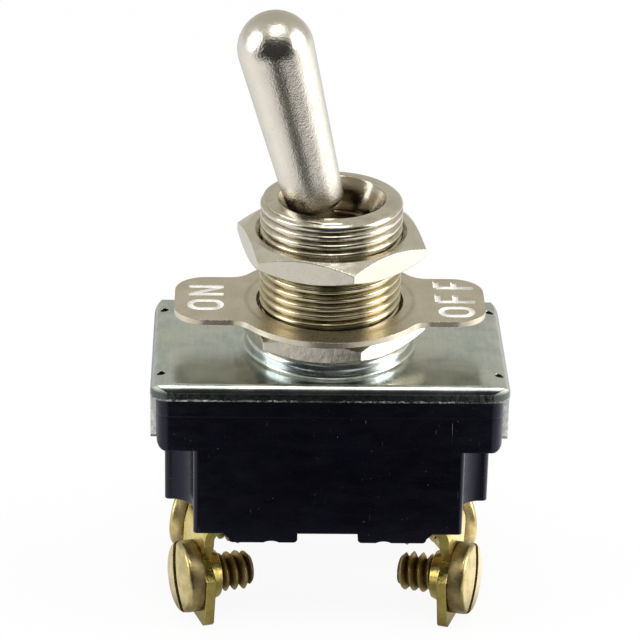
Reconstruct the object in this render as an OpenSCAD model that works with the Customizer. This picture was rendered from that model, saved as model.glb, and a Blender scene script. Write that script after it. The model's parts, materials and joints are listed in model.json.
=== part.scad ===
// Two-pole on-off panel toggle switch with a bat lever and screw terminals.
// Millimetres. +Z runs up the bushing's axis, +X towards the OFF end of the
// plate, and the origin is where the bushing's axis meets the frame's top face.

/* [Base] */
// Length of the base's upper part, along X
base_l = 28.86; // [26:0.02:34]
// Depth of the base, along Y
base_w = 16.16; // [14.6:0.02:20]
// Height of the upper part, from the liner to the ledge
base_upper_h = 5.3; // [5:0.1:8]
// Height of the lower block, from the ledge to its underside
base_block_h = 7.8; // [7.4:0.1:11]
// Step from the upper part's end in to the lower block's end
end_step = 3.08; // [2.4:0.02:3.3]
// Radius of the upper part's standing corners
base_corner_r = 1.0; // [0.9:0.1:1.6]
// Radius of the upper part's lower edge at each end
base_edge_r = 0.8; // [0.3:0.1:1.5]
// Chamfer of the upper part's top edge at each end
base_top_chamfer = 0.35; // [0.2:0.05:0.6]
// Distance of each barrier's outer face in from the upper part's end
barrier_inset = 0.56; // [0.3:0.02:1.4]
// Thickness of those barriers
barrier_w = 4.2; // [3:0.1:4.4]
// Fillet where a barrier meets the block
barrier_fillet = 1.9; // [0.4:0.1:2.4]
// Floor thickness under the contact chamber
base_floor_t = 3.5; // [2.4:0.1:4]
// Thickness of the wall between the two poles
pole_wall_t = 1.2; // [0.8:0.1:1.6]
// Height of the feet ribs under the block
rib_h = 0.86; // [0.7:0.01:1.4]
// Thickness of the feet ribs
rib_w = 1.15; // [0.8:0.05:1.3]
// Inner end of each foot rib, from the centre
rib_in = 2.55; // [1.5:0.05:4]
// Distance of each foot rib's outer end from the block's end
rib_end = 3.0; // [2.8:0.05:4]
// Rounding of the foot ribs' lower corners
rib_round = 0.35; // [0.2:0.05:0.5]
// Depth of the hollow in the middle of each foot rib
rib_hollow = 0.16; // [0.1:0.01:0.3]

/* [Frame] */
// Sheet thickness of the steel frame
frame_t = 0.5; // [0.4:0.05:0.8]
// Outer radius of the frame's bends along the long sides
frame_bend_r = 0.6; // [0.55:0.05:1.2]
// Outer radius of the frame's bends at the ends
frame_end_bend_r = 1.1; // [0.9:0.05:1.2]
// Depth of the frame's lip along the long sides, from the top face
lip_h = 1.4; // [1.3:0.05:3]
// Depth of the end flanges, from the top face
flange_h = 6.1; // [4:0.1:6.2]
// Width of the end flanges, along Y
flange_w = 13.2; // [12.2:0.1:13.4]
// Radius of the flanges' lower corners
flange_corner_r = 1.0; // [0.4:0.1:1.5]
// Radius of the relief holes where the end bends run out
relief_r = 0.35; // [0.2:0.05:0.4]
// Width of each prong that is clinched under the base
prong_w = 2.0; // [1.4:0.1:2.4]
// Length of the prong's folded foot
prong_l = 1.4; // [0.8:0.1:1.5]
// Distance of the prongs' middles from the centre, along Y
prong_y = 3.5; // [3.3:0.1:4.6]
// Radius of the raised boss round the bushing
boss_r = 7.1; // [6.9:0.05:7.3]
// Height of the boss over the top face
boss_h = 1.4; // [1.2:0.05:2]
// Rounding of the boss's upper edge
boss_round = 0.7; // [0.5:0.05:0.8]
// Gap between the frame and the base
cover_gap = 0.02; // [0:0.01:0.1]

/* [Liner] */
// Thickness of the fibre liner under the frame
liner_t = 0.5; // [0.3:0.05:1]
// Margin between the liner's edge and the frame's bends
liner_margin = 0.1; // [0.05:0.05:0.4]

/* [Bushing] */
// Outside diameter of the bushing's thread
bushing_d = 11.9; // [11.6:0.01:12.2]
// Height of the bushing over the frame's top face
bushing_h = 13.48; // [12.9:0.02:15]
// Chamfer at the bushing's rim
rim_chamfer = 0.45; // [0.2:0.05:0.6]
// Diameter of the mouth at the rim
mouth_d = 8.9; // [8.7:0.1:9.4]
// Diameter at the foot of the mouth's taper
mouth_foot_d = 8.2; // [8:0.1:8.6]
// Depth of the mouth
mouth_depth = 2.8; // [2.4:0.1:3.2]
// Diameter of the throat that the lever's neck swings in
throat_d = 6.4; // [6.2:0.1:6.6]
// Width of the shoulder under the boss, beyond the thread
shoulder_w = 0.45; // [0.35:0.05:0.5]

/* [Lever] */
// Height of the pivot over the frame's top face
pivot_z = 7.5; // [7:0.1:7.6]
// Tilt of the lever to each side of upright, in degrees
throw_deg = 14.3; // [10:0.1:14.4]
// Length from the pivot to the middle of the lever's round tip
bat_len = 19.55; // [14:0.05:24]
// Diameter of the round tip
bat_tip_d = 6.3; // [5:0.02:6.4]
// Diameter of the bat's lower end
bat_foot_d = 4.9; // [4:0.1:5]
// Height of the bat's lower end over the pivot
bat_foot_s = 5.8; // [5.6:0.1:7.4]
// Height over the pivot at which the bat has narrowed to the neck
neck_top_s = 5.0; // [4.6:0.1:5.3]
// Diameter of the neck
neck_d = 2.7; // [2.2:0.1:3]
// Diameter of the pivot ball
ball_d = 7.2; // [7:0.02:7.2]
// Radial clearance of the pivot ball in its seat
ball_clear = 0.06; // [0.03:0.01:0.1]
// Diameter of the tail below the ball
tail_d = 2.0; // [1.6:0.1:2.2]
// Length from the pivot to the middle of the tail's ball
tail_len = 10.9; // [10.3:0.1:11]
// Diameter of the tail's ball
tail_ball_d = 2.6; // [2.4:0.1:2.8]
// Height of the ring that holds the ball from below
keeper_h = 1.0; // [0.8:0.1:1.4]
// Drop of the ring's upper face below the pivot
keeper_drop = 2.3; // [2.2:0.1:2.6]

/* [Nuts and plate] */
// Width of the hex nuts across their flats
nut_af = 14.29; // [13.6:0.01:14.4]
// Thickness of the hex nuts
nut_t = 2.1; // [1.8:0.1:2.6]
// Angle of the nuts' chamfers, in degrees
nut_chamfer_deg = 30; // [15:1:35]
// Height of the face nut's underside over the frame's top face
face_nut_z = 8.45; // [6.6:0.05:9.6]
// Turn of the face nut, in degrees
face_nut_turn = -18.3; // [-30:0.1:30]
// Turn of the backing nut, in degrees
back_nut_turn = -13; // [-30:0.1:30]
// Radial clearance of the nuts on the thread
nut_clear = 0.03; // [0.01:0.01:0.1]
// Thickness of the on-off plate
plate_t = 0.5; // [0.3:0.05:0.8]
// Length of the plate over both tabs
plate_l = 26.1; // [24:0.1:28]
// Width of the plate's tabs
tab_w = 8.5; // [7:0.1:9]
// Corner radius of the plate's tabs
tab_r = 2.6; // [1:0.1:3.4]
// Diameter of the plate's middle ring
ring_d = 16.9; // [16.4:0.1:17.6]
// Radius of the hollow where a tab meets the ring
ring_fillet = 2.0; // [1:0.1:2.4]
// Diameter of the plate's hole
plate_hole_d = 12.4; // [12.3:0.05:12.8]

/* [Terminals] */
// Sheet thickness of the terminals
term_t = 0.85; // [0.6:0.05:0.9]
// Distance of a terminal's outer face in from the block's end
term_inset = 0.37; // [0.1:0.01:0.6]
// Distance of a terminal's middle in from the block's long side
term_side = 2.78; // [2.6:0.01:3.6]
// Splay of the terminals about the upright, in degrees
term_splay = 20; // [10:1:22]
// Outward lean of the terminals, in degrees
term_lean = 3; // [0:0.5:4]
// Width of the terminal's tab
term_w = 6.2; // [5.8:0.02:6.6]
// Distance of the screw below the base
term_screw_drop = 5.65; // [5.5:0.05:8]
// Distance from the screw to the tab's lower edge
term_below = 3.45; // [3.2:0.01:4.5]
// Height of the tab's shoulders over the screw
shoulder_up = 0.92; // [0.5:0.02:1.2]
// Rise of the sloping shoulders, up to the neck
shoulder_rise = 1.14; // [0.8:0.02:1.4]
// Width of the neck over the shoulders
term_neck_w = 3.6; // [3:0.1:4.2]
// Width of the bend and of the leg that lies under the base
leg_w = 4.9; // [4.4:0.1:5.2]
// Shift of the neck, bend and leg towards the base's middle
neck_shift = 0.45; // [0:0.05:0.6]
// Chamfer of the tab's lower corners
tab_corner = 0.35; // [0.2:0.05:0.8]
// Inner radius of the terminal's bend
term_bend_r = 0.6; // [0.4:0.1:1.2]
// Diameter of the leg's eye round the rivet
leg_eye_d = 3.6; // [3.2:0.1:4]
// Outside diameter of the threaded collar's end behind the tab
collar_d = 4.1; // [3.9:0.1:4.6]
// Length of that collar
collar_l = 1.0; // [0.6:0.1:1.6]
// Widening of the collar towards the tab, on the diameter
collar_draft = 0.8; // [0:0.1:1]
// Diameter of the screw's thread
screw_d = 3.4; // [3:0.05:3.6]
// Length of the screw under its head
screw_l = 5.0; // [4:0.1:7]
// Diameter of the screw's head
head_d = 6.2; // [5.5:0.1:6.4]
// Height of the screw's domed head at its middle
head_h = 2.05; // [1.8:0.05:2.3]
// Radius of the head's dome
dome_r = 5.7; // [5:0.1:8]
// Width of the screw's slot
slot_w = 0.8; // [0.6:0.05:1.2]
// Depth of the screw's slot
slot_depth = 0.85; // [0.5:0.05:0.95]
// Turn of the screw's slot from upright, in degrees
slot_turn = 4; // [-45:1:45]
// Radial clearance of the screw in its collar
screw_clear = 0.03; // [0.01:0.01:0.08]

/* [Contacts] */
// Distance of each pole from the centre, along Y
pole_y = 3.0; // [2.8:0.1:3.2]
// Distance of the contact rivets from the centre, along X
rivet_x = 6.3; // [6:0.1:6.6]
// Diameter of the contact rivets
rivet_d = 2.4; // [1.8:0.1:2.6]
// Thickness of the fixed contacts
pad_t = 0.6; // [0.4:0.1:1]
// Width of the fixed contacts
pad_w = 3.0; // [2.4:0.1:3.2]
// Length of a feed contact, the one the slider never leaves
feed_pad_l = 7.0; // [6.4:0.1:7.4]
// Length of a make contact, the one the slider leaves when off
make_pad_l = 4.2; // [3.6:0.1:4.4]
// Half the distance between the feet of a bridge contact
bridge_foot = 5.4; // [5.2:0.1:5.6]
// Thickness of the bridge contacts
bridge_t = 0.45; // [0.3:0.05:0.6]
// Width of the bridge contacts
bridge_w = 2.8; // [2:0.1:3]
// Diameter of a bridge contact's domed foot
foot_d = 2.0; // [1.6:0.1:2.2]
// Gap between a bridge contact's foot and the fixed contact
contact_gap = 0.08; // [0.04:0.01:0.2]

/* [Slider] */
// Length of the slider, along X
slider_l = 13.2; // [12.8:0.1:13.4]
// Thickness of the slider's deck
slider_deck_t = 1.6; // [1.2:0.1:2]
// Length of the slider's yoke, along X
yoke_l = 6.8; // [6.4:0.1:8]
// Width of the slider's yoke, along Y
yoke_w = 6.2; // [5.4:0.1:7]
// Gap between the slider and the walls and ledges that guide it
slide_gap = 0.12; // [0.08:0.01:0.2]
// Gap between the slider and the chamber's end at the end of its travel
stop_gap = 0.25; // [0.15:0.05:0.5]
// Gap between the lever's tail ball and the yoke
yoke_gap = 0.08; // [0.04:0.01:0.12]
// Width of the ledges that carry the slider
ledge_w = 1.2; // [0.8:0.1:1.4]

/* [Hidden] */
$fn = 96;
eps = 0.01;

// Levels
base_top = -frame_t - liner_t;
ledge_z = base_top - base_upper_h;
block_z = ledge_z - base_block_h;
floor_z = block_z + base_floor_t;

// Base
base_block_l = base_l - 2 * end_step;
barrier_l = base_l - 2 * barrier_inset;
rib_out = base_block_l / 2 - rib_end;

// Frame
frame_l = base_l + 2 * (frame_t + cover_gap);
frame_w = base_w + 2 * (frame_t + cover_gap);
frame_corner_r = base_corner_r + frame_t;
relief_x = frame_l / 2 - 0.9;
relief_y = flange_w / 2 - 0.5;

// Bushing and ball joint
bushing_r = bushing_d / 2;
bore_r = bushing_r + nut_clear;
shoulder_r = bushing_r + shoulder_w;
shoulder_top = boss_h - frame_t;
shoulder_chamfer = 0.2;
seat_r = ball_d / 2 + ball_clear;
keeper_top = pivot_z - keeper_drop;
keeper_gap = 0.01;

// Lever and slider travel
slider_half_travel = tail_len * sin(throw_deg);
tail_ball_low = pivot_z - tail_len - tail_ball_d / 2;
tail_ball_high = pivot_z - tail_len * cos(throw_deg) + tail_ball_d / 2;
chamber_l = slider_l + 2 * (slider_half_travel + stop_gap);
chamber_w = 2 * (pole_y + bridge_w / 2 + 0.6);
guide_w = chamber_w + 2 * ledge_w;
slider_w = guide_w - 2 * slide_gap;
bridge_foot_z = floor_z + pad_t + contact_gap;
foot_h = 0.4;
bridge_rise = 1.7;
deck_z = bridge_foot_z + foot_h + bridge_t + bridge_rise;
guide_z = deck_z - slide_gap;
yoke_top = base_top - 0.3;
yoke_floor_z = tail_ball_low - 0.4;

// Nuts and plate
back_nut_z = boss_h;
plate_z = back_nut_z + nut_t;

// Terminals, in a frame whose +X points outwards and +Y towards the near side:
// middle of the bend, and the rivet's place under the base
term_x = base_block_l / 2 - term_inset;
term_y = base_w / 2 - term_side;
term_bend_out = term_bend_r + term_t;
term_bend_c = term_bend_out * (1 - sin(term_lean)) / cos(term_lean);
leg_reach = (term_x - rivet_x) * cos(term_splay) + (term_y - pole_y) * sin(term_splay);
leg_y = (term_x - rivet_x) * sin(term_splay) - (term_y - pole_y) * cos(term_splay);
bend_land = 0.5;
rivet_clear = 0.02;

// ---- helpers -------------------------------------------------------------

// Rectangle centred on the origin with round corners
module round_rect(l, w, r) {
  square([l - 2 * r, w], center = true);
  square([l, w - 2 * r], center = true);
  for (x = [-1, 1], y = [-1, 1])
    translate([x * (l / 2 - r), y * (w / 2 - r)]) circle(r);
}

// Upper half of a rectangle with its two top corners rounded, standing on -h
module round_top(l, h, r) {
  translate([-l / 2, -h]) square([l, h - r]);
  translate([-l / 2 + r, -r - eps]) square([l - 2 * r, r + eps]);
  for (x = [-1, 1]) translate([x * (l / 2 - r), -r]) circle(r);
}

// Box of round-cornered plan with its top edges rounded, from -h to 0: the
// ends by end_r, the long sides by side_r
module dished_box(l, w, h, corner_r, end_r, side_r) {
  intersection() {
    translate([0, 0, -h]) linear_extrude(h) round_rect(l, w, corner_r);
    rotate([90, 0, 0]) linear_extrude(w + 2, center = true) round_top(l, h, end_r);
    rotate([90, 0, 90]) linear_extrude(l + 2, center = true) round_top(w, h, side_r);
  }
}

// The four quarters: front or rear, left or right
module quarter(right, rear) {
  mirror([right ? 1 : 0, 0, 0]) mirror([0, rear ? 1 : 0, 0]) children();
}

// ---- base ----------------------------------------------------------------

module base_plan() {
  round_rect(base_block_l, base_w, 0.35);
  round_rect(barrier_l, barrier_w, 0.4);
  // hollow fillets where the barriers leave the block
  r = min(barrier_fillet, (barrier_l - base_block_l) / 2 - 0.1);
  for (x = [-1, 1], y = [-1, 1]) scale([x, y])
    translate([base_block_l / 2 - eps, barrier_w / 2 - eps]) difference() {
      square(r + eps);
      translate([r + eps, r + eps]) circle(r);
    }
}

// Side of a foot rib: two pads with a shallow hollow between them, and a ramp
// at the outer end
module rib_outline() {
  ramp = 0.5;
  hollow_r = 1.4;
  difference() {
    union() {
      translate([rib_in, -rib_h + rib_round]) square([rib_out - rib_in, rib_h - rib_round]);
      translate([rib_in + rib_round, -rib_h]) square([rib_out - rib_in - 2 * rib_round, rib_h]);
      for (x = [rib_in, rib_out - 2 * rib_round])
        translate([x + rib_round, -rib_h + rib_round]) circle(rib_round);
      polygon([[rib_out - rib_round, 0], [rib_out + ramp, 0], [rib_out, -rib_h + rib_round],
        [rib_out - rib_round, -rib_h + rib_round]]);
    }
    translate([(rib_in + rib_out) / 2 - 0.7, rib_hollow - rib_h - hollow_r]) circle(hollow_r);
  }
}

module foot_rib() {
  rotate([90, 0, 0]) linear_extrude(rib_w) rib_outline();
}

module base() {
  color([0.05, 0.05, 0.07]) difference() {
    union() {
      // upper part, its long lower edges at the ends rounded
      intersection() {
        translate([0, 0, ledge_z]) linear_extrude(base_upper_h) round_rect(base_l, base_w, base_corner_r);
        rotate([90, 0, 0]) linear_extrude(base_w + 2, center = true)
          translate([0, base_top]) mirror([0, 1]) translate([0, base_upper_h])
            round_top(base_l, base_upper_h, base_edge_r);
      }
      translate([0, 0, block_z]) linear_extrude(base_block_h + 1) base_plan();
      for (x = [0, 1], y = [0, 1]) mirror([x, 0, 0]) mirror([0, y, 0])
        translate([0, base_w / 2, block_z]) foot_rib();
    }
    // top edges at the ends, clear of the frame's bends
    for (x = [-1, 1]) translate([x * base_l / 2, 0, base_top]) rotate([0, 45, 0])
      cube([sqrt(2) * base_top_chamfer, base_w + 2, sqrt(2) * base_top_chamfer], center = true);
    // guide for the slider, open to the top
    translate([-chamber_l / 2, -guide_w / 2, guide_z]) cube([chamber_l, guide_w, base_top - guide_z + 1]);
    // one contact chamber for each pole
    for (y = [-1, 1]) {
      inner = pole_wall_t / 2;
      translate([-chamber_l / 2, y > 0 ? inner : -chamber_w / 2, floor_z])
        cube([chamber_l, chamber_w / 2 - inner, guide_z - floor_z + eps]);
    }
    for (x = [-1, 1], y = [-1, 1])
      translate([x * rivet_x, y * pole_y, block_z - 1])
        cylinder(d = rivet_d + 2 * rivet_clear, h = base_floor_t + 2);
  }
}

// ---- frame and liner -----------------------------------------------------

// Outline of the boss: a disc with a rounded shoulder and a hollow foot
module boss_solid(r, h, round_r, foot_r) {
  rotate_extrude() {
    square([r - round_r, h]);
    square([r, h - round_r]);
    translate([r - round_r, h - round_r]) intersection() {
      circle(round_r);
      square(round_r + 1);
    }
    translate([r - eps, -eps]) difference() {
      square(foot_r);
      translate([foot_r + eps, foot_r + eps]) circle(foot_r);
    }
  }
}

module frame_cover() {
  boss_inner_r = boss_r - frame_t;
  color([0.62, 0.66, 0.63]) difference() {
    union() {
      difference() {
        dished_box(frame_l, frame_w, lip_h, frame_corner_r, frame_end_bend_r, frame_bend_r);
        translate([0, 0, -frame_t]) dished_box(frame_l - 2 * frame_t, frame_w - 2 * frame_t, lip_h,
          base_corner_r, frame_end_bend_r - frame_t, frame_bend_r - frame_t);
      }
      boss_solid(boss_r, boss_h, boss_round, 0.35);
      // end flanges with their clinched prongs
      for (x = [-1, 1]) scale([x, 1, 1]) {
        translate([frame_l / 2 - frame_t, 0, 0]) rotate([90, 0, 90]) linear_extrude(frame_t) {
          translate([-flange_w / 2, -flange_h + flange_corner_r])
            square([flange_w, flange_h - flange_corner_r - frame_end_bend_r]);
          translate([-flange_w / 2 + flange_corner_r, -flange_h])
            square([flange_w - 2 * flange_corner_r, flange_corner_r + eps]);
          for (y = [-1, 1]) {
            translate([y * (flange_w / 2 - flange_corner_r), -flange_h + flange_corner_r]) circle(flange_corner_r);
            translate([y * prong_y - prong_w / 2, ledge_z - frame_t])
              square([prong_w, -ledge_z - flange_h + frame_t + eps]);
          }
        }
        for (y = [-1, 1]) translate([frame_l / 2 - frame_t - prong_l, y * prong_y - prong_w / 2, ledge_z - frame_t])
          cube([prong_l + frame_t, prong_w, frame_t]);
      }
    }
    // relief holes at the ends of the end bends
    for (x = [-1, 1], y = [-1, 1])
      translate([x * relief_x, y * relief_y, -lip_h]) cylinder(r = relief_r, h = lip_h + 1);
    // inside of the boss, for the bushing's shoulder, and the bushing's hole
    translate([0, 0, -frame_t - eps]) cylinder(r = boss_inner_r, h = boss_h + eps);
    translate([0, 0, -1]) cylinder(r = bore_r, h = boss_h + 2);
  }
}

module liner() {
  l = frame_l - 2 * (frame_end_bend_r + liner_margin);
  w = frame_w - 2 * (frame_bend_r + liner_margin);
  slot_r = tail_d / 2 + 0.5;
  slot_half = (pivot_z - base_top) * tan(throw_deg) + 0.3;
  color([0.55, 0.36, 0.22]) translate([0, 0, base_top]) difference() {
    linear_extrude(liner_t) round_rect(l, w, 0.8);
    translate([-slot_half, -slot_r, -1]) cube([2 * slot_half, 2 * slot_r, liner_t + 2]);
    for (x = [-1, 1]) translate([x * slot_half, 0, -1]) cylinder(r = slot_r, h = liner_t + 2);
  }
}

// ---- bushing and lever ---------------------------------------------------

module bushing() {
  bottom = -frame_t;
  mouth_foot = bushing_h - mouth_depth;
  color([0.72, 0.68, 0.60]) difference() {
    rotate_extrude() polygon([
      [0, bottom], [shoulder_r, bottom], [shoulder_r, shoulder_top - shoulder_chamfer],
      [shoulder_r - shoulder_chamfer, shoulder_top], [bushing_r, shoulder_top],
      [bushing_r, bushing_h - rim_chamfer], [bushing_r - rim_chamfer, bushing_h], [0, bushing_h]]);
    // mouth, throat, ball seat and the bore below it
    translate([0, 0, mouth_foot]) cylinder(d1 = mouth_foot_d,
      d2 = mouth_d + (mouth_d - mouth_foot_d) / mouth_depth, h = mouth_depth + 1);
    translate([0, 0, pivot_z]) cylinder(d = throat_d, h = bushing_h);
    translate([0, 0, pivot_z]) sphere(seat_r);
    translate([0, 0, bottom - 1]) cylinder(r = seat_r, h = pivot_z - bottom + 1);
  }
}

module ball_keeper() {
  way = tail_d / 2 / cos(throw_deg) + keeper_drop * tan(throw_deg) + 0.6;
  color([0.60, 0.58, 0.52]) difference() {
    translate([0, 0, keeper_top - keeper_h]) cylinder(r = seat_r - keeper_gap, h = keeper_h);
    translate([0, 0, pivot_z]) sphere(seat_r);
    translate([0, 0, keeper_top - keeper_h - eps])
      cylinder(r1 = way + keeper_h * tan(throw_deg), r2 = way, h = keeper_h + 2 * eps);
  }
}

// Half section of the lever, from the tail's ball to the round tip
module lever_section() {
  tip_r = bat_tip_d / 2;
  foot_r = bat_foot_d / 2;
  difference() {
    union() {
      translate([0, bat_len]) circle(tip_r);
      polygon([[0, neck_top_s], [neck_d / 2, neck_top_s], [foot_r - 0.25, bat_foot_s - 0.35],
        [foot_r, bat_foot_s], [tip_r, bat_len], [0, bat_len]]);
      translate([0, -tail_len]) square([tail_d / 2, tail_len]);
      square([neck_d / 2, neck_top_s + eps]);
      circle(d = ball_d);
      translate([0, -tail_len]) circle(d = tail_ball_d);
    }
    translate([-bat_len, -bat_len]) square([bat_len, 3 * bat_len]);
  }
}

module lever() {
  color([0.80, 0.77, 0.72]) translate([0, 0, pivot_z]) rotate([0, -throw_deg, 0])
    rotate_extrude() lever_section();
}

// ---- slider and its bridge contacts, at rest in the ON place -----------------

module at_slider() {
  translate([slider_half_travel, 0, 0]) children();
}

module yoke_section() {
  half = tail_ball_d / 2 + yoke_gap;
  flare_z = tail_ball_high - tail_ball_d / 2 + 0.5;
  mouth = half + (yoke_top - flare_z) * tan(throw_deg) + 0.35;
  polygon([[-half, yoke_floor_z], [half, yoke_floor_z], [half, flare_z],
    [mouth, yoke_top + 1], [-mouth, yoke_top + 1], [-half, flare_z]]);
}

module slider() {
  post_d = 1.5;
  color([0.62, 0.55, 0.42]) at_slider() difference() {
    union() {
      translate([-slider_l / 2, -slider_w / 2, deck_z]) cube([slider_l, slider_w, slider_deck_t]);
      translate([-yoke_l / 2, -yoke_w / 2, deck_z]) cube([yoke_l, yoke_w, yoke_top - deck_z]);
      // posts that hold the bridge contacts
      for (y = [-1, 1]) translate([0, y * pole_y, deck_z - bridge_t - 0.4]) {
        cylinder(d = post_d, h = bridge_t + 0.4 + eps);
        cylinder(d = post_d + 0.8, h = 0.4 - eps);
      }
    }
    rotate([90, 0, 0]) linear_extrude(2 * (tail_ball_d / 2 + 0.5), center = true) yoke_section();
  }
}

module bridge(side) {
  flat = 1.6;
  slope_end = bridge_foot - 1.2;
  low = bridge_foot_z + foot_h;
  hole_d = 1.5 + 2 * rivet_clear;
  color([0.78, 0.50, 0.28]) at_slider() translate([0, side * pole_y, 0]) difference() {
    union() {
      rotate([90, 0, 0]) linear_extrude(bridge_w, center = true) polygon([
        [-flat, deck_z], [flat, deck_z], [slope_end, low + bridge_t], [bridge_foot + 1, low + bridge_t],
        [bridge_foot + 1, low], [slope_end, low], [flat, deck_z - bridge_t], [-flat, deck_z - bridge_t],
        [-slope_end, low], [-bridge_foot - 1, low], [-bridge_foot - 1, low + bridge_t], [-slope_end, low + bridge_t]]);
      for (x = [-1, 1]) translate([x * bridge_foot, 0, low]) intersection() {
        translate([0, 0, -foot_h]) cylinder(d = foot_d, h = foot_h + eps);
        translate([0, 0, foot_d - foot_h]) sphere(foot_d);
      }
    }
    translate([0, 0, deck_z - bridge_t - 1]) cylinder(d = hole_d, h = bridge_t + 2);
  }
}

// ---- terminals, contacts and screws, as the front left one ----------------

module at_terminal() {
  translate([-term_x, -term_y, block_z]) rotate([0, 0, 180 + term_splay]) children();
}

module at_screw() {
  at_terminal() rotate([0, -term_lean, 0]) translate([0, 0, -term_screw_drop]) children();
}

// Face of the tab: X towards the near side, Y up, the screw at -term_screw_drop.
// Sloping shoulders lead up to a neck, which widens again to the bend.
module tab_outline() {
  half = term_w / 2;
  low = -term_screw_drop - term_below;
  shoulder = -term_screw_drop + shoulder_up;
  neck = shoulder + shoulder_rise;
  land = -term_bend_c - bend_land;
  polygon([[-half + tab_corner, low], [half - tab_corner, low], [half, low + tab_corner], [half, shoulder],
    [term_neck_w / 2 - neck_shift, neck], [leg_w / 2 - neck_shift, land], [leg_w / 2 - neck_shift, -term_bend_c],
    [-leg_w / 2 - neck_shift, -term_bend_c], [-leg_w / 2 - neck_shift, land],
    [-term_neck_w / 2 - neck_shift, neck], [-half, shoulder], [-half, low + tab_corner]]);
}

// Side view of the leg, the bend and the tab's top: X outwards, Y up, the
// leg's top at 0
module leg_section() {
  translate([-term_bend_c - bend_land, -term_t]) square([bend_land, term_t]);
  translate([-term_bend_c, -term_bend_out]) {
    intersection() {
      difference() {
        circle(term_bend_out);
        circle(term_bend_r);
      }
      rotate(term_lean) polygon([[0, 0], [2 * term_bend_out, 0], [2 * term_bend_out, 2 * term_bend_out],
        [2 * term_bend_out * tan(term_lean), 2 * term_bend_out]]);
    }
    rotate(term_lean) translate([term_bend_r, -bend_land]) square([term_t, bend_land]);
  }
}

module terminal() {
  color([0.84, 0.70, 0.34]) difference() {
    at_terminal() {
      // tab, with the collar drawn out behind it
      rotate([0, -term_lean, 0]) difference() {
        union() {
          translate([-term_t, 0, 0]) rotate([90, 0, 90]) linear_extrude(term_t) tab_outline();
          translate([-term_t - collar_l, 0, -term_screw_drop]) rotate([0, 90, 0])
            cylinder(d1 = collar_d, d2 = collar_d + collar_draft, h = collar_l + eps);
        }
        translate([-term_t - collar_l - 1, 0, -term_screw_drop]) rotate([0, 90, 0])
          cylinder(r = screw_d / 2 + screw_clear, h = collar_l + term_t + 2);
      }
      // bend, and the leg that lies under the base with its eye round the rivet
      translate([0, -neck_shift, 0]) rotate([90, 0, 0]) linear_extrude(leg_w, center = true) leg_section();
      translate([0, 0, -term_t]) linear_extrude(term_t) {
        start = -term_bend_c - bend_land / 2;
        translate([-leg_reach, leg_y]) circle(d = leg_eye_d);
        polygon([[start, leg_w / 2 - neck_shift], [-leg_reach, leg_y + leg_eye_d / 2],
          [-leg_reach, leg_y - leg_eye_d / 2], [start, -leg_w / 2 - neck_shift]]);
      }
    }
    translate([-rivet_x, -pole_y, block_z - 2 * term_t]) cylinder(d = rivet_d + 2 * rivet_clear, h = 3 * term_t);
  }
}

// Rivet with a contact face in the chamber and a set head under the leg
module contact(pad_l, pad_shift) {
  set_h = 0.6;
  color([0.80, 0.55, 0.32]) translate([-rivet_x, -pole_y, 0]) {
    translate([0, 0, block_z - term_t - eps]) cylinder(d = rivet_d, h = base_floor_t + term_t + 2 * eps);
    translate([0, 0, block_z - term_t - set_h]) cylinder(d1 = rivet_d, d2 = rivet_d + 0.8, h = set_h);
    translate([pad_shift - pad_l / 2, -pad_w / 2, floor_z]) cube([pad_l, pad_w, pad_t]);
  }
}

module screw_section() {
  end_c = 0.5;
  polygon([[0, -screw_l], [screw_d / 2 - end_c, -screw_l], [screw_d / 2, -screw_l + end_c],
    [screw_d / 2, eps], [0, eps]]);
  intersection() {
    square([head_d / 2, head_h]);
    translate([0, head_h - dome_r]) circle(dome_r);
  }
}

module screw() {
  color([0.74, 0.62, 0.38]) at_screw() rotate([0, 90, 0]) difference() {
    rotate_extrude() screw_section();
    rotate([0, 0, slot_turn]) translate([-head_d, -slot_w / 2, head_h - slot_depth])
      cube([2 * head_d, slot_w, slot_depth + 1]);
  }
}

// ---- nuts and plate ------------------------------------------------------

module nut(turn) {
  corner_r = nut_af / 2 / cos(30);
  face_r = nut_af / 2 - 0.15;
  drop = (corner_r - face_r) * tan(nut_chamfer_deg);
  difference() {
    intersection() {
      rotate(turn) cylinder(r = corner_r, h = nut_t, $fn = 6);
      rotate_extrude() polygon([[0, 0], [face_r, 0], [corner_r, drop], [corner_r, nut_t - drop], [face_r, nut_t], [0, nut_t]]);
    }
    translate([0, 0, -1]) cylinder(r = bore_r, h = nut_t + 2);
    for (z = [-eps, nut_t - 0.4 + eps]) translate([0, 0, z])
      cylinder(r1 = bore_r + (z < 0 ? 0.4 : 0), r2 = bore_r + (z < 0 ? 0 : 0.4), h = 0.4);
  }
}

module backing_nut() { color([0.72, 0.67, 0.57]) translate([0, 0, back_nut_z]) nut(back_nut_turn); }

module face_nut() { color([0.72, 0.67, 0.57]) translate([0, 0, face_nut_z]) nut(face_nut_turn); }

module on_off_plate() {
  ring_r = ring_d / 2;
  // middle of the hollow that joins a tab's edge and the ring
  fy = tab_w / 2 + ring_fillet;
  fx = sqrt(pow(ring_r + ring_fillet, 2) - fy * fy);
  color([0.74, 0.69, 0.59]) translate([0, 0, plate_z]) linear_extrude(plate_t) difference() {
    union() {
      circle(ring_r);
      round_rect(plate_l, tab_w, tab_r);
      for (x = [-1, 1], y = [-1, 1]) scale([x, y]) difference() {
        polygon([[0, 0], [fx, 0], [fx, tab_w / 2 + eps], [fx * ring_r / (ring_r + ring_fillet), fy * ring_r / (ring_r + ring_fillet)]]);
        translate([fx, fy]) circle(ring_fillet);
      }
    }
    circle(d = plate_hole_d);
  }
}

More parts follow.
